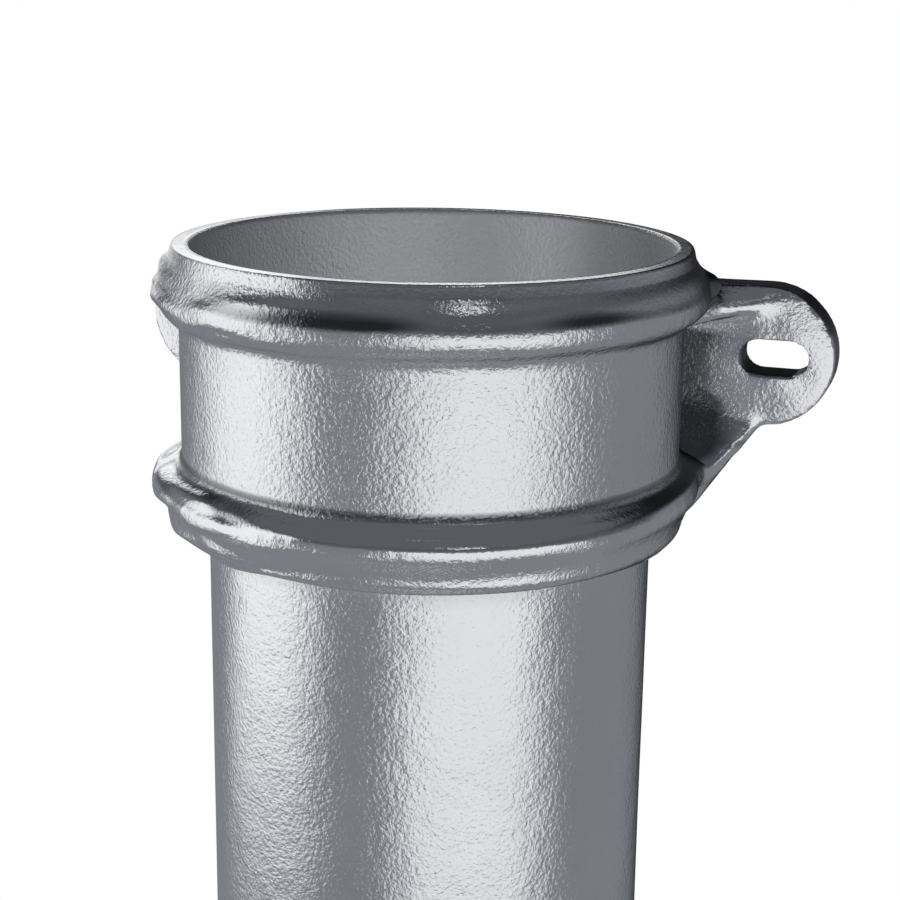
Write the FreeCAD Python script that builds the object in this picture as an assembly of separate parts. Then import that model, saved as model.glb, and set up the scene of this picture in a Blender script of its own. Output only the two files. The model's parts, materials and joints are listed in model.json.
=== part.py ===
import FreeCAD, Part
import math
import os

from FreeCAD import Vector

# An eared cast iron downpipe, one casting, standing on its spigot end.
# Millimetres. The origin is on the pipe's axis at the spigot end, +Z runs up to the socket, +Y to the wall.

# Pipe
LENGTH = 610.0
PIPE_OD = 110.0
PIPE_WALL = 4.0
SPIGOT_CHAMFER = 1.0

# Socket: a plain band between two mouldings
SOCKET_OD = 122.8
SOCKET_BORE = 116.8
SOCKET_DEPTH = 64.0
RIM_EDGE = 0.6

# Upper moulding from the rim down. OUT is over the socket's band, BULGE is off an arc's chord.
RIM_OUT = 1.6
RIM_BAND = 1.8
FLARE_HEIGHT = 6.0
FLARE_OUT = 4.8
UPPER_ROLL_HEIGHT = 7.2
UPPER_ROLL_BULGE = 1.3
UPPER_FOOT_HEIGHT = 2.2

# Lower moulding from the groove down, placed by the seat inside
GROOVE_OVER_SEAT = 10.4
SHOULDER_FALL = 0.8
SHOULDER_OUT = 4.2
LOWER_ROLL_HEIGHT = 6.8
LOWER_ROLL_FOOT_OUT = 5.2
LOWER_ROLL_BULGE = 2.3
NECK_HEIGHT = 3.2
NECK_OUT = 3.4
SMALL_ROLL_HEIGHT = 6.2
SMALL_ROLL_FOOT_OUT = 1.4
SMALL_ROLL_BULGE = 0.9
LOWER_FOOT_HEIGHT = 2.4

# Ears: a plate with two round ends behind the axis, each with one slot
EAR_CENTRES = 152.0
EAR_RADIUS = 17.7
EAR_DROP = 29.5
EAR_FRONT = 34.7
EAR_THICKNESS = 11.1
EAR_EDGE = 0.6
SLOT_CENTRES = 157.4
SLOT_LENGTH = 17.2
SLOT_WIDTH = 8.8

# Webs under the ears, hollowed from the ear's face down to the lower moulding's shoulder
WEB_FOOT_SPAN = 119.0
WEB_HEEL_DROP = 8.6
WEB_FALL = 6.0
WEB_FRONT = 24.5
WEB_HOLLOW = 1.5

# Run-outs: each roll swells to a knuckle beside the ear, and a tapering rib or ridge goes on into the ear
KNUCKLE_ANGLE = 21.4
LOWER_KNUCKLE_SINK = 1.7
LOWER_KNUCKLE_RADIUS = 2.9
RIB_ROOT_RADIUS = 2.5
RIB_TIP_RADIUS = 1.5
RIB_TIP_INSET = 1.5
UPPER_KNUCKLE_LIFT = 0.7
UPPER_KNUCKLE_RADIUS = 4.2
RIDGE_ROOT_ANGLE = 28.0
RIDGE_ROOT_DEPTH = 17.5
RIDGE_ROOT_RADIUS = 5.5
RIDGE_TIP_RADIUS = 1.3
RIDGE_TIP_DROP = 3.8
RIDGE_TIP_REACH = 3.0
TIP_SINK = 1.0

PIPE_RADIUS = PIPE_OD / 2
SOCKET_RADIUS = SOCKET_OD / 2
BORE_RADIUS = SOCKET_BORE / 2
EAR_X = EAR_CENTRES / 2
EAR_BACK = EAR_FRONT + EAR_THICKNESS

# Depths below the rim
FLARE_DEPTH = RIM_BAND + FLARE_HEIGHT
UPPER_ROLL_DEPTH = FLARE_DEPTH + UPPER_ROLL_HEIGHT
GROOVE_DEPTH = SOCKET_DEPTH - GROOVE_OVER_SEAT
SHOULDER_DEPTH = GROOVE_DEPTH + SHOULDER_FALL
LOWER_ROLL_DEPTH = SHOULDER_DEPTH + LOWER_ROLL_HEIGHT
NECK_DEPTH = LOWER_ROLL_DEPTH + NECK_HEIGHT
SMALL_ROLL_DEPTH = NECK_DEPTH + SMALL_ROLL_HEIGHT
LOWER_FOOT_DEPTH = SMALL_ROLL_DEPTH + LOWER_FOOT_HEIGHT


def at(radius, depth):
    """A point of the half section: radius from the axis, depth below the rim."""
    return Vector(radius, 0, LENGTH - depth)


def bulge(start, end, rise):
    """An arc from start to end whose middle stands off the chord, to the outside where rise is positive."""
    chord = end - start
    outward = Vector(-chord.z, 0, chord.x).normalize()
    return Part.Arc(start, (start + end) / 2 + outward * rise, end).toShape()


def line(start, end):
    return Part.makeLine(start, end)


def closed(points):
    """The face inside a closed run of straight lines."""
    return Part.Face(Part.makePolygon(points + points[:1]))


def turned(face):
    """The solid of a half section turned about the pipe's axis."""
    return face.revolve(Vector(0, 0, 0), Vector(0, 0, 1), 360)


def outside():
    """Pipe, socket and mouldings as a solid bar."""
    rim = SOCKET_RADIUS + RIM_OUT
    corners = [
        (at(0, 0), None),
        (at(rim - RIM_EDGE, 0), 0),
        (at(rim, RIM_EDGE), 0),
        (at(rim, RIM_BAND), 0),
        (at(SOCKET_RADIUS + FLARE_OUT, FLARE_DEPTH), 0),
        (at(SOCKET_RADIUS + FLARE_OUT, UPPER_ROLL_DEPTH), UPPER_ROLL_BULGE),
        (at(SOCKET_RADIUS, UPPER_ROLL_DEPTH + UPPER_FOOT_HEIGHT), 0),
        (at(SOCKET_RADIUS, GROOVE_DEPTH), 0),
        (at(SOCKET_RADIUS + SHOULDER_OUT, SHOULDER_DEPTH), 0),
        (at(SOCKET_RADIUS + LOWER_ROLL_FOOT_OUT, LOWER_ROLL_DEPTH), LOWER_ROLL_BULGE),
        (at(SOCKET_RADIUS + NECK_OUT, NECK_DEPTH), 0),
        (at(SOCKET_RADIUS + SMALL_ROLL_FOOT_OUT, SMALL_ROLL_DEPTH), SMALL_ROLL_BULGE),
        (at(PIPE_RADIUS, LOWER_FOOT_DEPTH), 0),
        (at(PIPE_RADIUS, LENGTH - SPIGOT_CHAMFER), 0),
        (at(PIPE_RADIUS - SPIGOT_CHAMFER, LENGTH), 0),
        (at(0, LENGTH), 0),
    ]
    edges = []
    for (start, _), (end, rise) in zip(corners, corners[1:]):
        edges.append(bulge(start, end, rise) if rise else line(start, end))
    edges.append(line(corners[-1][0], corners[0][0]))
    return turned(Part.Face(Part.Wire(edges)))


def hollow():
    """The water way: the pipe's bore, the seat for the next spigot and the socket's bore with its eased mouth."""
    bore = PIPE_RADIUS - PIPE_WALL
    past = PIPE_WALL
    return turned(closed([
        at(0, LENGTH + past),
        at(bore, LENGTH + past),
        at(bore, SOCKET_DEPTH),
        at(BORE_RADIUS, SOCKET_DEPTH),
        at(BORE_RADIUS, RIM_EDGE),
        at(BORE_RADIUS + RIM_EDGE, 0),
        at(BORE_RADIUS + RIM_EDGE, -past),
        at(0, -past),
    ]))


def ear_outline():
    """Front view of both ears: straight top, round ends, diagonals down to the lower moulding's foot."""
    level = LENGTH - EAR_DROP
    foot = LENGTH - SMALL_ROLL_DEPTH
    edges = []
    for side in (-1, 1):
        top = Vector(side * EAR_X, 0, level + EAR_RADIUS)
        tip = Vector(side * (EAR_X + EAR_RADIUS), 0, level)
        low = Vector(side * EAR_X, 0, level - EAR_RADIUS)
        edges.append(Part.Arc(top, tip, low).toShape())
        edges.append(line(low, Vector(side * WEB_FOOT_SPAN / 2, 0, foot)))
    edges.append(line(Vector(-EAR_X, 0, level + EAR_RADIUS), Vector(EAR_X, 0, level + EAR_RADIUS)))
    edges.append(line(Vector(-WEB_FOOT_SPAN / 2, 0, foot), Vector(WEB_FOOT_SPAN / 2, 0, foot)))
    return Part.Face(Part.Wire(Part.__sortEdges__(edges)))


def face_edges(shape, depth):
    """The edges of a shape that lie wholly in the plane Y = depth."""
    flat = 1e-6
    return [e for e in shape.Edges if abs(e.BoundBox.YMin - depth) < flat and abs(e.BoundBox.YMax - depth) < flat]


def ear_plate(outline):
    plate = outline.translated(Vector(0, EAR_FRONT, 0)).extrude(Vector(0, EAR_THICKNESS, 0))
    return plate.makeFillet(EAR_EDGE, face_edges(plate, EAR_FRONT))


def polar(radius, angle, depth):
    """A point at a radius from the axis, an angle behind the right side and a depth below the rim."""
    turn = math.radians(angle)
    return Vector(radius * math.cos(turn), radius * math.sin(turn), LENGTH - depth)


UPPER_CREST = SOCKET_RADIUS + FLARE_OUT + UPPER_ROLL_BULGE
UPPER_LEVEL = FLARE_DEPTH + UPPER_ROLL_HEIGHT / 2
LOWER_CREST = SOCKET_RADIUS + SHOULDER_OUT + LOWER_ROLL_BULGE
LOWER_LEVEL = SHOULDER_DEPTH + LOWER_ROLL_HEIGHT / 2
UPPER_KNUCKLE = polar(UPPER_CREST, KNUCKLE_ANGLE, UPPER_LEVEL - UPPER_KNUCKLE_LIFT)
LOWER_KNUCKLE = polar(LOWER_CREST, KNUCKLE_ANGLE, LOWER_LEVEL + LOWER_KNUCKLE_SINK)


def taper(start, start_radius, end, end_radius):
    run = end - start
    return Part.makeCone(start_radius, end_radius, run.Length, start, run)


def ridge():
    """The taper under the upper roll's knuckle, out along the right ear's top."""
    root = polar(SOCKET_RADIUS, RIDGE_ROOT_ANGLE, RIDGE_ROOT_DEPTH)
    tip_depth = EAR_DROP - EAR_RADIUS + RIDGE_TIP_DROP
    tip = Vector(EAR_X + RIDGE_TIP_REACH, EAR_FRONT + TIP_SINK, LENGTH - tip_depth)
    return taper(root, RIDGE_ROOT_RADIUS, tip, RIDGE_TIP_RADIUS)


def rib():
    """The taper from the lower roll's knuckle, up the edge of the web to the right ear's underside."""
    tip_depth = EAR_DROP + EAR_RADIUS - RIB_TIP_RADIUS / 2
    tip = Vector(EAR_X - RIB_TIP_INSET, EAR_FRONT + TIP_SINK, LENGTH - tip_depth)
    return taper(LOWER_KNUCKLE, RIB_ROOT_RADIUS, tip, RIB_TIP_RADIUS)


def web(outline):
    """The right ear's gusset, hollowed between the ear's face and the shoulder and edged by the rib."""
    start = math.sqrt(BORE_RADIUS ** 2 - EAR_BACK ** 2)
    base = LENGTH - LOWER_FOOT_DEPTH
    face_top = Vector(start, EAR_FRONT, LENGTH - EAR_DROP - WEB_HEEL_DROP)
    face_low = Vector(start, WEB_FRONT, LENGTH - SHOULDER_DEPTH + WEB_FALL / 2)
    slope = face_low - face_top
    inward = Vector(0, -slope.z, slope.y).normalize() * WEB_HOLLOW
    section = Part.Face(Part.Wire([
        Part.Arc(face_top, (face_top + face_low) / 2 + inward, face_low).toShape(),
        line(face_low, Vector(start, WEB_FRONT, base)),
        line(Vector(start, WEB_FRONT, base), Vector(start, EAR_BACK, base)),
        line(Vector(start, EAR_BACK, base), Vector(start, EAR_BACK, face_top.z)),
        line(Vector(start, EAR_BACK, face_top.z), face_top),
    ]))
    plan = closed([
        Vector(0, EAR_BACK, 0),
        Vector(0, 0, 0),
        Vector(SOCKET_RADIUS, 0, 0),
        Vector(LOWER_KNUCKLE.x, LOWER_KNUCKLE.y, 0),
        Vector(EAR_X, EAR_FRONT, 0),
        Vector(EAR_X, EAR_BACK, 0),
    ])
    bar = section.extrude(Vector(EAR_X - start, 0, -WEB_FALL)).common(plan.extrude(Vector(0, 0, LENGTH)))
    return bar.common(outline.extrude(Vector(0, EAR_BACK, 0)))


def slot(side):
    """The cutter of one ear's slot, round at both ends."""
    half_run = (SLOT_LENGTH - SLOT_WIDTH) / 2
    centre = Vector(side * SLOT_CENTRES / 2, EAR_FRONT - EAR_THICKNESS, LENGTH - EAR_DROP)
    depth = Vector(0, 3 * EAR_THICKNESS, 0)
    ends = [Part.makeCylinder(SLOT_WIDTH / 2, depth.y, centre + Vector(shift, 0, 0), depth)
            for shift in (-half_run, half_run)]
    middle = Part.makeBox(2 * half_run, depth.y, SLOT_WIDTH, centre - Vector(half_run, 0, SLOT_WIDTH / 2))
    return middle.multiFuse(ends)


def downpipe():
    outline = ear_outline()
    upper_knuckle = Part.makeSphere(UPPER_KNUCKLE_RADIUS, UPPER_KNUCKLE)
    lower_knuckle = Part.makeSphere(LOWER_KNUCKLE_RADIUS, LOWER_KNUCKLE)
    right = [web(outline), ridge(), upper_knuckle, lower_knuckle, rib()]
    left = [piece.mirror(Vector(0, 0, 0), Vector(1, 0, 0)) for piece in right]
    body = outside().fuse(ear_plate(outline))
    for piece in right + left:
        body = body.fuse(piece)
    body = body.cut(hollow())
    return body.cut(slot(-1)).cut(slot(1)).removeSplitter()


os.makedirs("parts", exist_ok=True)
shape = downpipe()
print("valid", shape.isValid(), "solids", len(shape.Solids), "volume", round(shape.Volume))
shape.exportStep("parts/downpipe.step")
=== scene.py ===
"""A cast iron downpipe: the socket head with its mouldings and ears, the pipe below it and a plain studio."""

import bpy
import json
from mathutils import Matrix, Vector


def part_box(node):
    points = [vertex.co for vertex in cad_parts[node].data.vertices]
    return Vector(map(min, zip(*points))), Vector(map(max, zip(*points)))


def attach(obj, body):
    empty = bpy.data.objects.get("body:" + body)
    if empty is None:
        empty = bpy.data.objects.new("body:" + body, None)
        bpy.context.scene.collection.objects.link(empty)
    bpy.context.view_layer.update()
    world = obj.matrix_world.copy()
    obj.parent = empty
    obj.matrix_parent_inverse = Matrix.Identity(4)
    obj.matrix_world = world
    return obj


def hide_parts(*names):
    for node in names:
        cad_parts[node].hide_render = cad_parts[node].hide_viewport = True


bl_info = {
    "name": "Cast Iron Downpipe",
    "version": (1, 0, 0),
    "blender": (4, 5, 0),
    "location": "View3D > Sidebar > Downpipe",
    "description": "Builds a cast iron downpipe with a moulded socket and slotted ears on its CAD frame",
    "category": "Object",
}

import json
import math

import bmesh
import bpy
from bpy.props import FloatProperty, FloatVectorProperty, IntProperty, PointerProperty
from mathutils import Vector, noise
from mathutils.bvhtree import BVHTree

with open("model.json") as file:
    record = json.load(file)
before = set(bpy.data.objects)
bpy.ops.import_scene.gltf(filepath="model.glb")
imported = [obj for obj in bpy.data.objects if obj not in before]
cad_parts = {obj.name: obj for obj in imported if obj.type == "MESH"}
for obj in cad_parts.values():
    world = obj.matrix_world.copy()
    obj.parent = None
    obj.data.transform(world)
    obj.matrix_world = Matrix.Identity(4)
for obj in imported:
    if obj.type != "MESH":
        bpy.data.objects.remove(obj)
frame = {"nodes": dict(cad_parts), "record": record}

MOUNTS = {mount["name"]: mount for mount in frame["record"]["mounts"]}
RIM_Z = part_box("downpipe")[1].z
SEAT_Z = MOUNTS["socket_seat"]["pos_m"][2]
PIPE_RADIUS = MOUNTS["spigot"]["dims"]["r_mm"] / 1000
BORE_RADIUS = MOUNTS["pipe_bore"]["dims"]["r_mm"] / 1000
SOCKET_BORE_RADIUS = MOUNTS["socket_bore"]["dims"]["r_mm"] / 1000
SPIGOT_EASE = MOUNTS["spigot"]["pos_m"][2] - MOUNTS["spigot"]["dims"]["length_mm"] / 2000
FOOT_Z = MOUNTS["spigot"]["pos_m"][2] + MOUNTS["spigot"]["dims"]["length_mm"] / 2000
SLOTS = MOUNTS["ear_slots"]
SLOT_X = SLOTS["dims"]["spacing_x_mm"] / 2000
SLOT_RADIUS = SLOTS["dims"]["hole_r_mm"] / 1000
SLOT_RUN = SLOTS["dims"]["slot_length_mm"] / 2000 - SLOT_RADIUS
EAR_X = MOUNTS["right_ear_back"]["pos_m"][0]
EAR_Z = SLOTS["pos_m"][2]
EAR_BACK = MOUNTS["right_ear_back"]["pos_m"][1]
EAR_FRONT = 2 * SLOTS["pos_m"][1] - EAR_BACK
EAR_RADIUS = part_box("downpipe")[1].x - EAR_X

# Zones by depth under the rim: where each starts, is full, starts to end and ends.
FLARE_SWELL_ZONE = (0.0022, 0.0052, 0.0058, 0.0086)
UPPER_FOOT_ZONE = (0.0145, 0.0160, 0.0220, 0.0250)
EAR_BAND_ZONE = (0.0150, 0.0190, 0.0360, 0.0440)
BAND_ZONE = (0.0185, 0.0205, 0.0505, 0.0525)
GROOVE_ZONE = (0.0500, 0.0514, 0.0518, 0.0532)
SHOULDER_ZONE = (0.0520, 0.0534, 0.0570, 0.0590)
# Creases by depth under the rim: the upper moulding's foot, the groove and the lower moulding's neck.
CREASES = ((0.0135, 0.0210), (0.0510, 0.0565), (0.0600, 0.0650))
WEB_DEPTH = 0.036

# The ears' roots on the socket: how far back they start and out they reach, and how much the band changes both.
ROOT_SIDE = (0.040, 0.050)
ROOT_START, ROOT_BAND_START = 0.012, 0.014
ROOT_REACH, ROOT_BAND_REACH = 0.068, 0.016
# The ears' sharp parts, out from the axis and up from the slots: free ends, tops, and the soft ridge left out of them.
EAR_FREE_X, EAR_FREE_FOOT = 0.0675, -0.0065
EAR_TOP_X, EAR_TOP_FOOT = 0.057, 0.0115
RIDGE_END, RIDGE_FOOT = 0.0805, 0.0085

# Bearings round the axis, from +X.
FRONT = math.radians(-71)
RIGHT = math.radians(6)
LEFT = math.radians(-150)
PLAIN_SIDE = math.radians(-20)
# The next two bearings aim painted shade: the streaks across the flare's front and the darker side of the bore.
SHADE_STREAK_SIDE = math.radians(-62)
BORE_SHADE_SIDE = math.radians(40)
CORNER = math.radians(38)

# The tent's lit fields in degrees: bearing, half width, soft edge, lift where each starts and ends, and strength.
TENT_BOXES = ((-49.5, 35.5, 4, (-90, -89), (3, 11), 1.0), (-158.5, 29.5, 5, (-42, -28), (24, 40), 1.13),
              (128, 13, 2, (-14, -8), (2, 4), 1.05), (128, 13, 2, (6.2, 7.2), (18, 23), 1.2),
              (107, 10, 3, (8.8, 9.6), (18, 23), 1.2))
TENT_BACK = math.radians(95)
TENT_DARK, TENT_WALL, TENT_ROOF, TENT_BASE = 0.025, 0.235, 0.14, 0.27


class DownpipeCasting(bpy.types.PropertyGroup):
    """Sizes of the casting's skin."""

    cell: FloatProperty(name="Skin cell", description="Edge length of the socket head's skin",
                        default=0.00094, subtype="DISTANCE")
    edge_passes: IntProperty(name="Edge passes", description="Smoothing passes over the ears' edges", default=3)
    soft_passes: IntProperty(name="Soft passes", description="Smoothing passes over the mouldings", default=6)
    crease_passes: IntProperty(name="Crease passes", description="More passes along the mouldings' creases",
                               default=14)
    blend_passes: IntProperty(name="Blend passes", description="More passes where the ears grow out of the socket",
                              default=20)
    rim_radius: FloatProperty(name="Rim radius", description="Outside radius of the rim", default=0.063,
                              subtype="DISTANCE")
    ear_dome: FloatProperty(name="Ear dome", description="How far the middle of each ear's face stands out",
                            default=0.0016, subtype="DISTANCE")
    ear_lump: FloatProperty(name="Ear lump", description="Height of the hammered lumps on the ears' faces",
                            default=0.0005, subtype="DISTANCE")
    band_radius: FloatProperty(name="Band radius", default=0.0614, subtype="DISTANCE",
                               description="Outside radius of the plain band between the mouldings")
    lump: FloatProperty(name="Lump height", description="Height of the casting's lumps on the mouldings",
                        default=0.0007, subtype="DISTANCE")
    lump_length: FloatProperty(name="Lump length", description="Length of one lump", default=0.034,
                               subtype="DISTANCE")
    flare_swell: FloatProperty(name="Flare swell", default=0.00035, subtype="DISTANCE",
                               description="How far the flare under the rim swells at its middle")
    wave: FloatProperty(name="Wave height", description="Height of the slow waves along the pipe's wall",
                        default=0.00012, subtype="DISTANCE")
    foot_lift: FloatProperty(name="Foot lift", description="How far the lower moulding's foot rises at the front",
                             default=0.002, subtype="DISTANCE")
    lean_in: FloatProperty(name="Lean in", description="How far the lower moulding draws in at its right side",
                           default=0.0018, subtype="DISTANCE")
    # The next three set the painted shade: how far off a wall still darkens a point, how many ways are tried round it
    # and how often the result is averaged.
    painted_shade_reach: FloatProperty(name="Hollow reach", description="How far off a wall still shuts in a hollow",
                                default=0.03, subtype="DISTANCE")
    painted_shade_ways: IntProperty(name="Hollow ways", description="Directions tried round each point for hollows",
                             default=40)
    painted_shade_passes: IntProperty(name="Hollow passes", description="Averaging passes over the hollows", default=6)
    segments: IntProperty(name="Segments", description="Faces round the pipe", default=192)
    rings: IntProperty(name="Rings", description="Faces along the pipe", default=48)


class DownpipeFinish(bpy.types.PropertyGroup):
    """The bright grey finish over the cast skin."""

    light_grey: FloatVectorProperty(name="Light grey", description="Colour of the finish", subtype="COLOR", size=4,
                                    default=(0.76, 0.77, 0.79, 1.0))
    deep_grey: FloatVectorProperty(name="Deep grey", description="Colour where the finish is thin", subtype="COLOR",
                                   size=4, default=(0.68, 0.69, 0.71, 1.0))
    # Painted shade, not a dull skin: the dark grey that hollows, creases, streaks on the flare and one side of the
    # bore are painted towards.
    painted_shade_grey: FloatVectorProperty(name="Hollow grey", description="Colour of the dull skin deep in the hollows",
                                     subtype="COLOR", size=4, default=(0.1, 0.103, 0.11, 1.0))
    bore_grey: FloatVectorProperty(name="Bore grey", description="Colour of the dull skin inside", subtype="COLOR",
                                   size=4, default=(0.58, 0.585, 0.6, 1.0))
    bore_metal: FloatProperty(name="Bore metal", description="How metallic the dull skin inside is", default=0.8)
    bore_gloss: FloatProperty(name="Bore roughness", description="Roughness of the skin inside", default=0.55)
    gloss_low: FloatProperty(name="Smoothest", description="Roughness of the smoothest spots", default=0.08)
    gloss_high: FloatProperty(name="Roughest", description="Roughness of the dullest spots", default=0.15)
    gloss_worn: FloatProperty(name="Worn", description="Roughness where the skin is rubbed plain", default=0.04)
    grain: FloatProperty(name="Grain size", description="Size of one grain of the cast skin", default=0.001,
                         subtype="DISTANCE")
    grain_height: FloatProperty(name="Grain height", description="Height of the cast grain", default=0.00022,
                                subtype="DISTANCE")
    socket_grain: FloatProperty(name="Socket grain", description="How much higher the grain is on the socket",
                                default=1.3)
    ripple: FloatProperty(name="Ripple size", description="Size of the slower ripples under the grain",
                          default=0.009, subtype="DISTANCE")
    ripple_height: FloatProperty(name="Ripple height", description="Height of the slower ripples", default=0.0003,
                                 subtype="DISTANCE")


class DownpipeStage(bpy.types.PropertyGroup):
    """The plain studio round the pipe."""

    camera_place: FloatVectorProperty(name="Camera place", description="Where the camera stands",
                                      subtype="TRANSLATION", default=(0.14663, -0.42536, 0.67644))
    camera_turn: FloatVectorProperty(name="Camera turn", description="How the camera is turned", subtype="EULER",
                                     default=(1.31287, -0.01257, 0.32459))
    lens: FloatProperty(name="Lens", description="Focal length in millimetres", default=74.705)
    floor_radius: FloatProperty(name="Floor radius", description="Radius of the floor", default=4.0,
                                subtype="DISTANCE")
    tent_radius: FloatProperty(name="Tent radius", description="How far the light tent stands from the pipe",
                               default=0.6, subtype="DISTANCE")
    tent_height: FloatProperty(name="Tent height", description="How tall the light tent stands", default=1.2,
                               subtype="DISTANCE")
    fill_power: FloatProperty(name="Fill power", description="Power of the soft fill lamp", default=1.0, unit="POWER")


class DownpipeSettings(bpy.types.PropertyGroup):
    """All settings of the downpipe."""

    casting: PointerProperty(type=DownpipeCasting)
    finish: PointerProperty(type=DownpipeFinish)
    stage: PointerProperty(type=DownpipeStage)


def ramp(value, low, high):
    """Rises smoothly from 0 at low to 1 at high."""
    t = min(max((value - low) / (high - low), 0.0), 1.0)
    return t * t * (3 - 2 * t)


def within(value, zone):
    """Rises from 0 to 1 over a zone's first two values and falls back over its last two."""
    return ramp(value, zone[0], zone[1]) * (1 - ramp(value, zone[2], zone[3]))


def angle_apart(a, b):
    return abs((a - b + math.pi) % (2 * math.pi) - math.pi)


def bearing_of(co):
    return math.atan2(co.y, co.x)


def to_object(bm, name):
    mesh = bpy.data.meshes.new(name)
    bm.to_mesh(mesh)
    bm.free()
    piece = bpy.data.objects.new(name, mesh)
    bpy.context.scene.collection.objects.link(piece)
    return piece


def set_radius(vert, radius):
    vert.co.xy = vert.co.xy.normalized() * radius


def turned(section, steps, closed):
    """A section turned round the axis, as a bmesh of its own."""
    bm = bmesh.new()
    verts = [bm.verts.new(co) for co in section]
    edges = [bm.edges.new(pair) for pair in zip(verts, verts[1:] + verts[:1] if closed else verts[1:])]
    bmesh.ops.spin(bm, geom=verts + edges, cent=(0, 0, 0), axis=(0, 0, 1), angle=2 * math.pi, steps=steps,
                   use_merge=True, use_duplicate=False)
    bmesh.ops.recalc_face_normals(bm, faces=bm.faces)
    return bm


def add_to(bm, other):
    """Adds another bmesh's faces to one."""
    mesh = bpy.data.meshes.new("turned")
    other.to_mesh(mesh)
    other.free()
    bm.from_mesh(mesh)
    bpy.data.meshes.remove(mesh)


def head_block():
    """The CAD solid above the lower moulding's foot, closed underneath inside the pipe's wall."""
    bm = bmesh.new()
    bm.from_mesh(frame["nodes"]["downpipe"].data)
    bmesh.ops.remove_doubles(bm, verts=bm.verts, dist=1e-6)
    cut = bmesh.ops.bisect_plane(bm, geom=bm.verts[:] + bm.edges[:] + bm.faces[:], dist=1e-6,
                                 plane_co=(0, 0, FOOT_Z - 0.0002), plane_no=(0, 0, 1), clear_inner=True)
    rim = [item for item in cut["geom_cut"] if isinstance(item, bmesh.types.BMEdge)]
    bmesh.ops.bridge_loops(bm, edges=rim)
    for vert in bm.verts:
        if vert.co.z < SEAT_Z + 0.0001:
            radius = vert.co.xy.length
            if radius < BORE_RADIUS + 0.0005:
                set_radius(vert, BORE_RADIUS + 0.0015)
            elif vert.co.z < FOOT_Z + 0.0001 and radius < PIPE_RADIUS + 0.0005:
                set_radius(vert, PIPE_RADIUS - 0.0008)
    bmesh.ops.recalc_face_normals(bm, faces=bm.faces)
    return to_object(bm, "head_block")


def reskin(block, cell):
    """A new even skin over a closed block, as a bmesh."""
    modifier = block.modifiers.new("skin", "REMESH")
    modifier.mode = "VOXEL"
    modifier.voxel_size = cell
    modifier.adaptivity = 0
    bpy.context.view_layer.update()
    mesh = bpy.data.meshes.new_from_object(block.evaluated_get(bpy.context.evaluated_depsgraph_get()))
    bm = bmesh.new()
    bm.from_mesh(mesh)
    old = block.data
    bpy.data.objects.remove(block)
    bpy.data.meshes.remove(old)
    bpy.data.meshes.remove(mesh)
    return bm


def near_ear(co):
    """How far a point belongs to the ears' roots, from 0 to 1."""
    depth = RIM_Z - co.z
    band = within(depth, EAR_BAND_ZONE)
    start = ROOT_START + ROOT_BAND_START * band
    reach = ROOT_REACH - ROOT_BAND_REACH * band
    side = within(abs(co.x), ROOT_SIDE + (reach - 0.002, reach + 0.006))
    return ramp(co.y, start, start + 0.010) * side * ramp(depth, 0.003, 0.006)


def is_crisp(co):
    """True on the ears' free ends and along their tops, where the casting's edges are sharp."""
    out, up = abs(co.x), co.z - EAR_Z
    if out < RIDGE_END and up > RIDGE_FOOT and co.y < EAR_FRONT + 0.005:
        return False
    end = out > EAR_FREE_X and up > EAR_FREE_FOOT
    top = out > EAR_TOP_X and up > EAR_TOP_FOOT
    return (end or top or out > EAR_X + 0.0025) and co.y > EAR_FRONT - 0.0006


def set_crisp(vert, casting):
    """Sets a point of an ear's free end right on the faces and edges that it lies by."""
    near = 0.62 * casting.cell
    side = math.copysign(1, vert.co.x)
    middle = Vector((side * EAR_X, vert.co.y, EAR_Z))
    spoke = vert.co - middle
    if spoke.x * side > 0:
        if abs(spoke.length - EAR_RADIUS) < near:
            vert.co = middle + spoke.normalized() * EAR_RADIUS
    elif abs(spoke.z - EAR_RADIUS) < near:
        vert.co.z = EAR_Z + EAR_RADIUS
    along = min(max(vert.co.x * side - SLOT_X, -SLOT_RUN), SLOT_RUN)
    middle = Vector((side * (SLOT_X + along), vert.co.y, EAR_Z))
    spoke = vert.co - middle
    if abs(spoke.length - SLOT_RADIUS) < near:
        vert.co = middle + spoke.normalized() * SLOT_RADIUS
    for true in (EAR_FRONT, EAR_BACK):
        if abs(vert.co.y - true) < near:
            vert.co.y = true


def in_crease(co):
    """True where a moulding's foot or shoulder meets the band or the neck, and on the webs' roots."""
    depth = RIM_Z - co.z
    outside = co.xy.length > SOCKET_BORE_RADIUS + 0.001
    crease = any(top < depth < low for top, low in CREASES)
    return outside and crease or depth > WEB_DEPTH and near_ear(co) > 0.5


def soften(bm, casting):
    """Rounds the mouldings a little, their creases more and the ears' roots a lot, and trues the ends and walls."""
    crisp = [vert for vert in bm.verts if is_crisp(vert.co)]
    for vert in crisp:
        set_crisp(vert, casting)
    sharp = set(crisp)
    soft = [vert for vert in bm.verts if vert not in sharp]
    zones = [(crisp, casting.edge_passes), (soft, casting.soft_passes),
             ([vert for vert in soft if in_crease(vert.co)], casting.crease_passes)]
    for level in (0.8, 0.6, 0.4, 0.2):
        roots = [vert for vert in soft if RIM_Z - vert.co.z < WEB_DEPTH and near_ear(vert.co) > level]
        zones.append((roots, casting.blend_passes // 4))
    for verts, passes in zones:
        for _ in range(passes):
            bmesh.ops.smooth_vert(bm, verts=verts, factor=0.5, use_axis_x=True, use_axis_y=True, use_axis_z=True)
    for vert in soft:
        depth = RIM_Z - vert.co.z
        radius = vert.co.xy.length
        if abs(radius - SOCKET_BORE_RADIUS) < 0.0007 and depth < RIM_Z - SEAT_Z - 0.0012:
            set_radius(vert, SOCKET_BORE_RADIUS)
        elif abs(radius - casting.band_radius) < 0.0008:
            hold = within(depth, BAND_ZONE) * (1 - near_ear(vert.co))
            set_radius(vert, radius + (casting.band_radius - radius) * hold)


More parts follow.
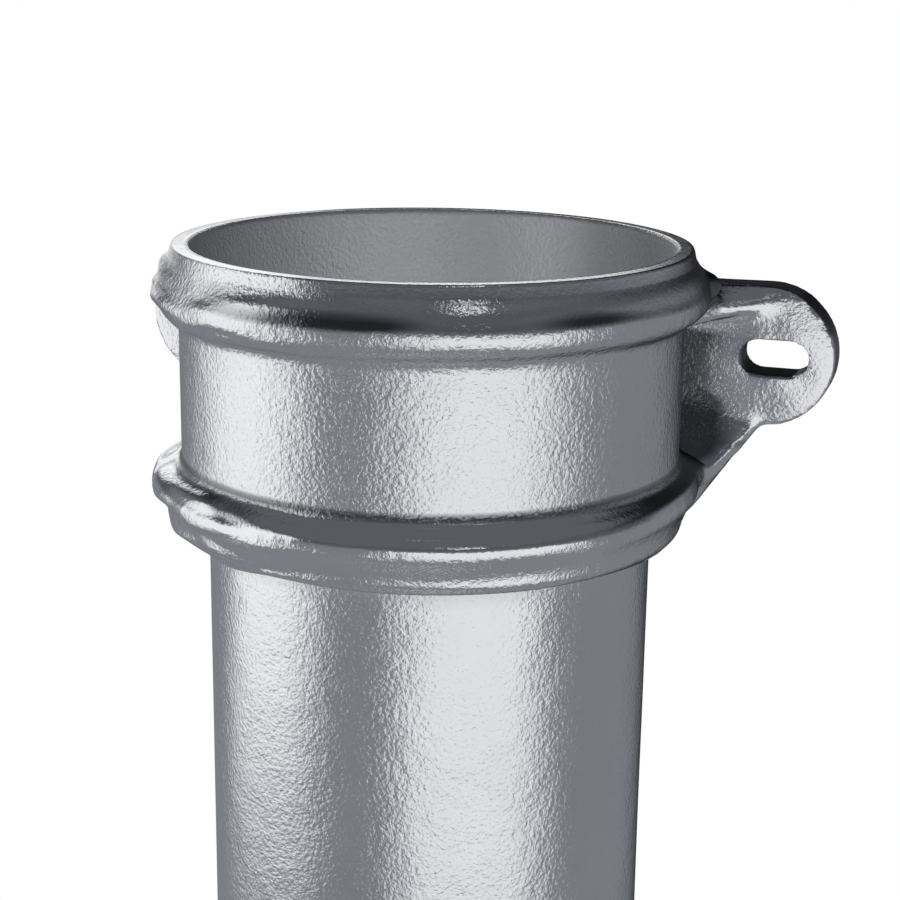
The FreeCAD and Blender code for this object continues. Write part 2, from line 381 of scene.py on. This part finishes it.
def cut_level(bm, faces, level):
    """Cuts some faces along a level."""
    edges = list(dict.fromkeys(edge for face in faces for edge in face.edges))
    verts = list(dict.fromkeys(vert for face in faces for vert in face.verts))
    bmesh.ops.bisect_plane(bm, geom=verts + edges + faces, dist=1e-6, plane_co=(0, 0, level), plane_no=(0, 0, 1))


def in_bore(face):
    middle = face.calc_center_median()
    return middle.xy.length < SOCKET_BORE_RADIUS + 0.0002 and middle.z > SEAT_Z + 0.002


def turned_mouth(bm, casting):
    """Puts a turned rim with eased edges on the head, and a plain bore between it and the seat."""
    low, top = SEAT_Z + 0.004, RIM_Z - 0.0028
    cut_level(bm, [face for face in bm.faces if in_bore(face)], low)
    cut_level(bm, [face for face in bm.faces if face.calc_center_median().z > RIM_Z - 0.006], top)
    gone = [face for face in bm.faces if face.calc_center_median().z > top or in_bore(face)
            and face.calc_center_median().z > low]
    bmesh.ops.delete(bm, geom=gone, context="FACES")
    inner, outer = SOCKET_BORE_RADIUS, casting.rim_radius
    section = [(inner, 0.0022), (inner, 0.0012), (inner + 0.00015, 0.0006), (inner + 0.0006, 0.00015),
               (inner + 0.0012, 0.0), (inner + 0.0015, 0.0), (outer - 0.0009, 0.0), (outer - 0.0006, 0.0),
               (outer - 0.0002, 0.0001), (outer - 0.00005, 0.0003), (outer + 0.0001, 0.0007)]
    section = [Vector((radius, 0, RIM_Z - depth)) for radius, depth in section]
    add_to(bm, turned(section, 2 * casting.segments, False))
    open_edges = [edge for edge in bm.edges if edge.is_boundary]
    bore = [edge for edge in open_edges if edge.verts[0].co.xy.length < inner + 0.001]
    flare = [edge for edge in open_edges if edge.verts[0].co.xy.length > inner + 0.001]
    for vert in {vert for edge in bore for vert in edge.verts}:
        set_radius(vert, inner)
    bmesh.ops.bridge_loops(bm, edges=bore)
    bmesh.ops.bridge_loops(bm, edges=flare)
    bmesh.ops.recalc_face_normals(bm, faces=bm.faces)


def roughcast(bm, casting):
    """The casting's unevenness: lumps along the mouldings and the lower moulding's uneven run."""
    bm.normal_update()
    moves = []
    for vert in bm.verts:
        depth = RIM_Z - vert.co.z
        radius = vert.co.xy.length
        turn = bearing_of(vert.co)
        outside = ramp(radius, casting.band_radius - 0.0012, casting.band_radius + 0.0008)
        moulding = outside * max(1 - ramp(depth, 0.015, 0.019), ramp(depth, 0.052, 0.055))
        moulding *= ramp(depth, 0.0022, 0.0050)
        place = Vector((vert.co.x, vert.co.y, vert.co.z * 5)) / casting.lump_length
        lump = noise.noise(Vector((3.1, 7.7, 1.3)) + place)
        lump += 0.5 * noise.noise(Vector((8.3, 2.9, 5.1)) + place * 1.7)
        left = 1 - ramp(angle_apart(turn, LEFT), 0.6, 1.3)
        lump += 0.5 * left * noise.noise(Vector((2.2, 6.4, 9.5)) + place * 2.6)
        height = casting.lump * moulding * lump * (0.45 + 1.6 * left)
        height += casting.flare_swell * outside * within(depth, FLARE_SWELL_ZONE)
        move = vert.normal * height
        drawn = ramp(depth, 0.0535, 0.057) * (1 - ramp(angle_apart(turn, RIGHT), 0.15, 0.75))
        lower = outside * drawn * (1 - near_ear(vert.co))
        move -= Vector((vert.co.x, vert.co.y, 0)).normalized() * (casting.lean_in * lower)
        rise = ramp(depth, 0.0645, 0.0705) * (1 - ramp(angle_apart(turn, FRONT), 0.5, 1.7))
        move.z += casting.foot_lift * rise
        reach = math.hypot(abs(vert.co.x) - EAR_X, vert.co.z - EAR_Z) / EAR_RADIUS
        face = ramp(abs(vert.co.x), 0.058, 0.066) * ramp(-vert.normal.y, 0.3, 0.8) * max(0.0, 1 - reach * reach)
        dome = casting.ear_dome + casting.ear_lump * noise.noise(Vector((5.3, 1.1, 7.9)) + vert.co / 0.008)
        move.y -= dome * face * ramp(vert.co.y, EAR_FRONT - 0.008, EAR_FRONT - 0.001)
        moves.append(move)
    for vert, move in zip(bm.verts, moves):
        vert.co += move


def pipe_wall(bm, casting):
    """Adds the straight pipe: a section turned round the axis, its top end inside the head."""
    top = SEAT_Z
    section = [Vector((BORE_RADIUS, 0, 0)), Vector((PIPE_RADIUS - SPIGOT_EASE, 0, 0)),
               Vector((PIPE_RADIUS, 0, SPIGOT_EASE))]
    step = (top - SPIGOT_EASE) / casting.rings
    section += [Vector((PIPE_RADIUS, 0, SPIGOT_EASE + step * (i + 1))) for i in range(casting.rings)]
    section += [Vector((BORE_RADIUS, 0, top)), Vector((BORE_RADIUS, 0, top / 2))]
    wall = turned(section, casting.segments, True)
    for vert in wall.verts:
        if abs(vert.co.xy.length - PIPE_RADIUS) < 1e-5:
            slow = noise.noise(Vector((4.7, 1.9, 6.1)) + vert.co / 0.03)
            set_radius(vert, PIPE_RADIUS + casting.wave * slow)
    add_to(bm, wall)


def mark_bore(bm):
    """Marks the points inside the bores, where the finish is dull."""
    bm.normal_update()
    layer = bm.verts.layers.float.new("bore")
    for vert in bm.verts:
        outwards = Vector((vert.co.x, vert.co.y, 0)).normalized()
        if vert.co.xy.length < SOCKET_BORE_RADIUS + 0.0004:
            vert[layer] = ramp(-vert.normal.dot(outwards), 0.3, 0.9) if vert.co.z > SEAT_Z + 0.003 else 1.0
        if vert.co.xy.length > BORE_RADIUS + 0.0025 and vert.co.z < SEAT_Z - 0.0005:
            vert[layer] = 0.0


def spread_ways(count):
    """Directions spread evenly over a ball."""
    ways = []
    for i in range(count):
        up = 1 - (2 * i + 1) / count
        turn = i * math.pi * (3 - math.sqrt(5))
        across = math.sqrt(1 - up * up)
        ways.append(Vector((math.cos(turn) * across, math.sin(turn) * across, up)))
    return ways


def shut_in(vert, tree, ways, reach):
    """How far the casting itself shuts in a point, from 0 to 1."""
    shut = total = 0.0
    for way in ways:
        facing = way.dot(vert.normal)
        if facing > 0.05:
            found = tree.ray_cast(vert.co + vert.normal * 0.0006, way, reach)
            total += facing
            if found[0] is not None:
                shut += facing * (1 - found[3] / reach)
    return shut / max(total, 1e-6)


def plainness(vert):
    """How far a point is rubbed plain: level tops, the flare at the front, the lower shoulder and the ears' faces."""
    depth = RIM_Z - vert.co.z
    top = ramp(vert.normal.z, 0.93, 0.98) if vert.co.z > EAR_Z - 0.01 else 0.0
    front = 1 - ramp(angle_apart(bearing_of(vert.co), PLAIN_SIDE), 1.15, 1.65)
    flare = front * (1 - ramp(depth, 0.009, 0.012))
    ear = ramp(abs(vert.co.x), 0.066, 0.072) * ramp(-vert.normal.y, 0.5, 0.8)
    return max(top, 0.75 * flare, 0.85 * within(depth, SHOULDER_ZONE), 0.45 * ear)


def painted_shade_by_place(vert, shut):
    """A point's painted shade toned by where it lies: less on the ledges, more painted shade on the webs, along the
    groove, in streaks across the flare's front and where the flare ends.
    """
    depth = RIM_Z - vert.co.z
    root = near_ear(vert.co)
    # Less painted shade on the ledges and more low on the ears' roots.
    ledge = 0.75 * within(depth, SHOULDER_ZONE) + 0.9 * within(depth, UPPER_FOOT_ZONE)
    shut *= 1 - ledge * (1 - root) + 0.9 * root * ramp(depth, 0.030, 0.042)
    # Painted shade in streaks and a band across the front of the flare.
    front = 1 - ramp(angle_apart(bearing_of(vert.co), SHADE_STREAK_SIDE), 0.7, 1.4)
    shade_streak = noise.noise(Vector((11.66, 17.54, 18.78)) + Vector((vert.co.x, vert.co.y, vert.co.z * 5)) / 0.03)
    shade_streak = 0.28 * ramp(shade_streak, -0.25, 0.4) * ramp(depth, 0.0015, 0.004) + 0.14 * ramp(depth, 0.006, 0.0088)
    shut += front * shade_streak * (1 - ramp(depth, 0.0092, 0.0106))
    # Painted shade along the groove.
    shut += 0.25 * within(depth, GROOVE_ZONE) * (1 - root)
    # Painted shade where the flare ends at the sides, on faces turned outwards.
    end = ramp(abs(vert.co.x), 0.0605, 0.0635) * ramp(vert.co.y, 0.006, 0.016)
    end *= ramp(vert.co.z - EAR_Z, 0.004, 0.008)
    end *= ramp(math.copysign(vert.normal.x, vert.normal.x * vert.co.x), 0.3, 0.6)
    return max(shut, 0.37 * end)


def paint_shade(bm, casting):
    """Paints shade into the points outside the head, darker the deeper in among the casting's walls each sits, paints
    shade down one side of the socket's bore, and marks which points are rubbed plain.
    """
    tree = BVHTree.FromBMesh(bm)
    ways = spread_ways(casting.painted_shade_ways)
    hollow = bm.verts.layers.float.new("hollow")
    plain = bm.verts.layers.float.new("plain")
    head = [vert for vert in bm.verts if vert.co.z > FOOT_Z and vert.co.xy.length > SOCKET_BORE_RADIUS + 0.001]
    # Painted shade: each point outside the head is darkened by how far the casting shuts it in.
    for vert in head:
        vert[plain] = plainness(vert)
        vert[hollow] = shut_in(vert, tree, ways, casting.painted_shade_reach)
    for _ in range(casting.painted_shade_passes):
        means = []
        for vert in head:
            near = [edge.other_vert(vert)[hollow] for edge in vert.link_edges]
            means.append(sum(near) / len(near))
        for vert, mean in zip(head, means):
            vert[hollow] = mean
    for vert in head:
        vert[hollow] = painted_shade_by_place(vert, vert[hollow])
    # Painted shade inside the socket's bore: darkest round the back right, fading away from there.
    for vert in bm.verts:
        if vert.co.xy.length < SOCKET_BORE_RADIUS + 0.0005 and vert.co.z > SEAT_Z + 0.003:
            shade_side = angle_apart(bearing_of(vert.co), BORE_SHADE_SIDE)
            vert[hollow] = 0.29 - 0.19 * ramp(shade_side, 0.3, 0.8)


def shade(bm):
    """Smooth faces, with a hard line only where two faces meet at a real corner."""
    for face in bm.faces:
        face.smooth = True
    for edge in bm.edges:
        if len(edge.link_faces) == 2:
            edge.smooth = edge.calc_face_angle() < CORNER


def link(tree, source, target):
    tree.links.new(source, target)


def finish_material(finish):
    """Bright grey finish over a cast grain, darkened by shade painted into the hollows, creases, flare and bore."""
    material = bpy.data.materials.new("grey_cast_finish")
    material.use_nodes = True
    tree = material.node_tree
    shader = tree.nodes["Principled BSDF"]
    place = tree.nodes.new("ShaderNodeTexCoord")
    bore = tree.nodes.new("ShaderNodeAttribute")
    bore.attribute_name = "bore"

    def clouds(size, detail, roughness):
        node = tree.nodes.new("ShaderNodeTexNoise")
        node.inputs["Scale"].default_value = 1 / size
        node.inputs["Detail"].default_value = detail
        node.inputs["Roughness"].default_value = roughness
        link(tree, place.outputs["Object"], node.inputs["Vector"])
        return node.outputs["Fac"]

    colour = tree.nodes.new("ShaderNodeMix")
    colour.data_type = "RGBA"
    link(tree, clouds(0.025, 4, 0.6), colour.inputs["Factor"])
    colour.inputs["A"].default_value = finish.deep_grey
    colour.inputs["B"].default_value = finish.light_grey
    # Painted shade: the points' painted shade darkens the colour towards the painted shade grey, through the range
    # below.
    hollow = tree.nodes.new("ShaderNodeAttribute")
    hollow.attribute_name = "hollow"
    depth = tree.nodes.new("ShaderNodeMapRange")
    link(tree, hollow.outputs["Fac"], depth.inputs["Value"])
    depth.inputs["From Min"].default_value = 0.1
    depth.inputs["From Max"].default_value = 0.38
    depth.inputs["To Max"].default_value = 0.95
    painted_shade_mix = tree.nodes.new("ShaderNodeMix")
    painted_shade_mix.data_type = "RGBA"
    link(tree, depth.outputs["Result"], painted_shade_mix.inputs["Factor"])
    painted_shade_mix.inputs["B"].default_value = finish.painted_shade_grey
    inside = tree.nodes.new("ShaderNodeMix")
    inside.data_type = "RGBA"
    link(tree, bore.outputs["Fac"], inside.inputs["Factor"])
    link(tree, colour.outputs["Result"], inside.inputs["A"])
    inside.inputs["B"].default_value = finish.bore_grey
    link(tree, inside.outputs["Result"], painted_shade_mix.inputs["A"])
    link(tree, painted_shade_mix.outputs["Result"], shader.inputs["Base Color"])
    metal = tree.nodes.new("ShaderNodeMapRange")
    link(tree, bore.outputs["Fac"], metal.inputs["Value"])
    metal.inputs["To Min"].default_value = 1.0
    metal.inputs["To Max"].default_value = finish.bore_metal
    link(tree, metal.outputs["Result"], shader.inputs["Metallic"])

    gloss = tree.nodes.new("ShaderNodeMapRange")
    link(tree, clouds(0.012, 5, 0.65), gloss.inputs["Value"])
    gloss.inputs["From Min"].default_value = 0.3
    gloss.inputs["From Max"].default_value = 0.7
    gloss.inputs["To Min"].default_value = finish.gloss_low
    gloss.inputs["To Max"].default_value = finish.gloss_high
    plain = tree.nodes.new("ShaderNodeAttribute")
    plain.attribute_name = "plain"
    worn = tree.nodes.new("ShaderNodeMix")
    link(tree, plain.outputs["Fac"], worn.inputs["Factor"])
    link(tree, gloss.outputs["Result"], worn.inputs["A"])
    worn.inputs["B"].default_value = finish.gloss_worn
    dull = tree.nodes.new("ShaderNodeMix")
    link(tree, bore.outputs["Fac"], dull.inputs["Factor"])
    link(tree, worn.outputs["Result"], dull.inputs["A"])
    dull.inputs["B"].default_value = finish.bore_gloss
    link(tree, dull.outputs["Result"], shader.inputs["Roughness"])

    rubbed = tree.nodes.new("ShaderNodeMapRange")
    link(tree, plain.outputs["Fac"], rubbed.inputs["Value"])
    rubbed.inputs["To Min"].default_value = 1.0
    rubbed.inputs["To Max"].default_value = 0.12
    ripple = tree.nodes.new("ShaderNodeBump")
    link(tree, rubbed.outputs["Result"], ripple.inputs["Strength"])
    ripple.inputs["Distance"].default_value = finish.ripple_height
    link(tree, clouds(finish.ripple, 2, 0.5), ripple.inputs["Height"])
    grain = tree.nodes.new("ShaderNodeBump")
    link(tree, rubbed.outputs["Result"], grain.inputs["Strength"])
    height = tree.nodes.new("ShaderNodeSeparateXYZ")
    link(tree, place.outputs["Object"], height.inputs["Vector"])
    coarse = tree.nodes.new("ShaderNodeMapRange")
    link(tree, height.outputs["Z"], coarse.inputs["Value"])
    coarse.inputs["From Min"].default_value = FOOT_Z
    coarse.inputs["From Max"].default_value = FOOT_Z + 0.02
    coarse.inputs["To Min"].default_value = finish.grain_height
    coarse.inputs["To Max"].default_value = finish.grain_height * finish.socket_grain
    link(tree, coarse.outputs["Result"], grain.inputs["Distance"])
    link(tree, clouds(finish.grain, 3, 0.55), grain.inputs["Height"])
    link(tree, ripple.outputs["Normal"], grain.inputs["Normal"])
    link(tree, grain.outputs["Normal"], shader.inputs["Normal"])
    return material


class DownpipeBuildCasting(bpy.types.Operator):
    """Builds the casting: socket head with mouldings and ears, and the pipe below it"""

    bl_idname = "downpipe.build_casting"
    bl_label = "Build Casting"

    def execute(self, context):
        settings = context.scene.downpipe
        bm = reskin(head_block(), settings.casting.cell)
        soften(bm, settings.casting)
        roughcast(bm, settings.casting)
        turned_mouth(bm, settings.casting)
        pipe_wall(bm, settings.casting)
        mark_bore(bm)
        paint_shade(bm, settings.casting)
        shade(bm)
        piece = to_object(bm, "casting")
        piece.data.materials.append(finish_material(settings.finish))
        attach(piece, "root")
        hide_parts("downpipe")
        piece.visible_glossy = False
        return {"FINISHED"}


def tent_light(place):
    """How bright the tent is at a place: soft boxes, strips behind, walls that darken upwards and a grey roof."""
    bearing = bearing_of(place)
    lift = math.degrees(math.atan2(place.z - RIM_Z, place.xy.length))
    side = math.degrees(angle_apart(bearing, TENT_BACK))
    climb = min(max(lift, -30), 40)
    start = 18 + (0.57 if climb > 0 else 0.43) * climb
    wall = TENT_DARK + TENT_WALL * ramp(side, start, start + 41 + 0.2 * climb)
    glow = max(wall * (1 - 0.55 * ramp(lift, 0, 30)), TENT_ROOF * ramp(lift, 32, 48))
    for middle, half, edge, low, high, strength in TENT_BOXES:
        apart = math.degrees(angle_apart(bearing, math.radians(middle)))
        across = 1 - ramp(apart, half - edge, half + edge)
        glow = max(glow, strength * across * within(lift, low + high))
    return glow


def tent_material():
    """An even glow whose brightness the tent's own points hold."""
    material = bpy.data.materials.new("tent_cloth")
    material.use_nodes = True
    tree = material.node_tree
    tree.nodes.clear()
    held = tree.nodes.new("ShaderNodeAttribute")
    held.attribute_name = "glow"
    glow = tree.nodes.new("ShaderNodeEmission")
    link(tree, held.outputs["Fac"], glow.inputs["Strength"])
    tint = tree.nodes.new("ShaderNodeMix")
    tint.data_type = "RGBA"
    link(tree, held.outputs["Fac"], tint.inputs["Factor"])
    tint.inputs["A"].default_value = (0.94, 1.0, 1.1, 1)
    tint.inputs["B"].default_value = (1, 1, 1, 1)
    link(tree, tint.outputs["Result"], glow.inputs["Color"])
    out = tree.nodes.new("ShaderNodeOutputMaterial")
    link(tree, glow.outputs["Emission"], out.inputs["Surface"])
    return material


def tent_piece(bm, name, light, material):
    """A piece of the tent whose points hold how bright it is, and which the camera looks through."""
    layer = bm.verts.layers.float.new("glow")
    for vert in bm.verts:
        vert[layer] = light(vert.co)
    piece = to_object(bm, name)
    piece.data.materials.append(material)
    piece.visible_camera = False
    return piece


def tent(radius, height):
    """A round tent of cloth about the pipe, and a grey cloth over its floor, which only reflections show."""
    steps, turns = 60, 180
    edge = [Vector((radius, 0, height * i / steps)) for i in range(steps + 1)]
    edge += [Vector((radius * (1 - i / steps), 0, height)) for i in range(1, steps)]
    cloth = tent_material()
    tent_piece(turned(edge, turns, False), "tent", tent_light, cloth)
    lift = 0.0015
    low = [Vector((PIPE_RADIUS + 0.002, 0, lift)), Vector((radius / 2, 0, lift)), Vector((radius, 0, lift))]
    base = tent_piece(turned(low, 96, False), "tent_base", lambda place: TENT_BASE, cloth)
    base.visible_diffuse = False
    base.visible_shadow = False


def floor_material():
    """White floor that takes the shadow near the pipe and fades into the white background."""
    material = bpy.data.materials.new("white_floor")
    material.use_nodes = True
    tree = material.node_tree
    shader = tree.nodes["Principled BSDF"]
    shader.inputs["Base Color"].default_value = (0.9, 0.9, 0.9, 1)
    shader.inputs["Roughness"].default_value = 0.9
    place = tree.nodes.new("ShaderNodeTexCoord")
    reach = tree.nodes.new("ShaderNodeVectorMath")
    reach.operation = "LENGTH"
    link(tree, place.outputs["Object"], reach.inputs[0])
    fade = tree.nodes.new("ShaderNodeMapRange")
    fade.interpolation_type = "SMOOTHSTEP"
    link(tree, reach.outputs["Value"], fade.inputs["Value"])
    fade.inputs["From Min"].default_value = 0.15
    fade.inputs["From Max"].default_value = 0.55
    fade.inputs["To Min"].default_value = 0.6
    glow = tree.nodes.new("ShaderNodeEmission")
    mix = tree.nodes.new("ShaderNodeMixShader")
    link(tree, fade.outputs["Result"], mix.inputs["Fac"])
    link(tree, shader.outputs["BSDF"], mix.inputs[1])
    link(tree, glow.outputs["Emission"], mix.inputs[2])
    link(tree, mix.outputs["Shader"], tree.nodes["Material Output"].inputs["Surface"])
    return material


class DownpipeBuildStage(bpy.types.Operator):
    """Sets the floor, the light tent, the lamps and the camera"""

    bl_idname = "downpipe.build_stage"
    bl_label = "Build Stage"

    def execute(self, context):
        scene = context.scene
        stage = scene.downpipe.stage
        bm = bmesh.new()
        bmesh.ops.create_circle(bm, cap_ends=True, radius=stage.floor_radius, segments=96)
        floor = to_object(bm, "floor")
        floor.data.materials.append(floor_material())

        world = bpy.data.worlds.new("white_studio")
        world.use_nodes = True
        world.node_tree.nodes["Background"].inputs["Color"].default_value = (1, 1, 1, 1)
        scene.world = world

        tent(stage.tent_radius, stage.tent_height)
        lamps = (("key", (0.08, 0.05), 0.015, (0.212, -0.280, 0.97), True),
                 ("fill", (0.4, 0.4), stage.fill_power, (0.15, -0.45, 1.1), False))
        for name, (wide, deep), power, place, shows in lamps:
            lamp = bpy.data.lights.new(name, "AREA")
            lamp.shape = "RECTANGLE"
            lamp.size, lamp.size_y = wide, deep
            lamp.energy = power
            holder = bpy.data.objects.new(name, lamp)
            holder.location = place
            holder.rotation_euler = (Vector((0, 0, RIM_Z)) - holder.location).to_track_quat("-Z", "Y").to_euler()
            holder.visible_glossy = shows
            scene.collection.objects.link(holder)

        camera = bpy.data.objects.new("camera", bpy.data.cameras.new("camera"))
        camera.data.lens = stage.lens
        camera.data.sensor_width = 36
        camera.data.clip_start = 0.01
        camera.location = stage.camera_place
        camera.rotation_euler = stage.camera_turn
        scene.collection.objects.link(camera)
        scene.camera = camera
        scene.view_settings.view_transform = "Standard"
        return {"FINISHED"}


class DownpipePanel(bpy.types.Panel):
    """Lists the downpipe's steps and settings"""

    bl_idname = "VIEW3D_PT_downpipe"
    bl_label = "Downpipe"
    bl_space_type = "VIEW_3D"
    bl_region_type = "UI"
    bl_category = "Downpipe"

    def draw(self, context):
        settings = context.scene.downpipe
        for group in (settings.casting, settings.finish, settings.stage):
            column = self.layout.box().column()
            for name in group.__annotations__:
                column.prop(group, name)
        self.layout.operator(DownpipeBuildCasting.bl_idname)
        self.layout.operator(DownpipeBuildStage.bl_idname)


CLASSES = (DownpipeCasting, DownpipeFinish, DownpipeStage, DownpipeSettings, DownpipeBuildCasting,
           DownpipeBuildStage, DownpipePanel)


def register():
    for cls in CLASSES:
        bpy.utils.register_class(cls)
    bpy.types.Scene.downpipe = PointerProperty(type=DownpipeSettings)


def unregister():
    del bpy.types.Scene.downpipe
    for cls in reversed(CLASSES):
        bpy.utils.unregister_class(cls)


def main():
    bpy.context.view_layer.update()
    register()
    bpy.ops.downpipe.build_casting()
    bpy.ops.downpipe.build_stage()


if __name__ == "__main__":
    main()
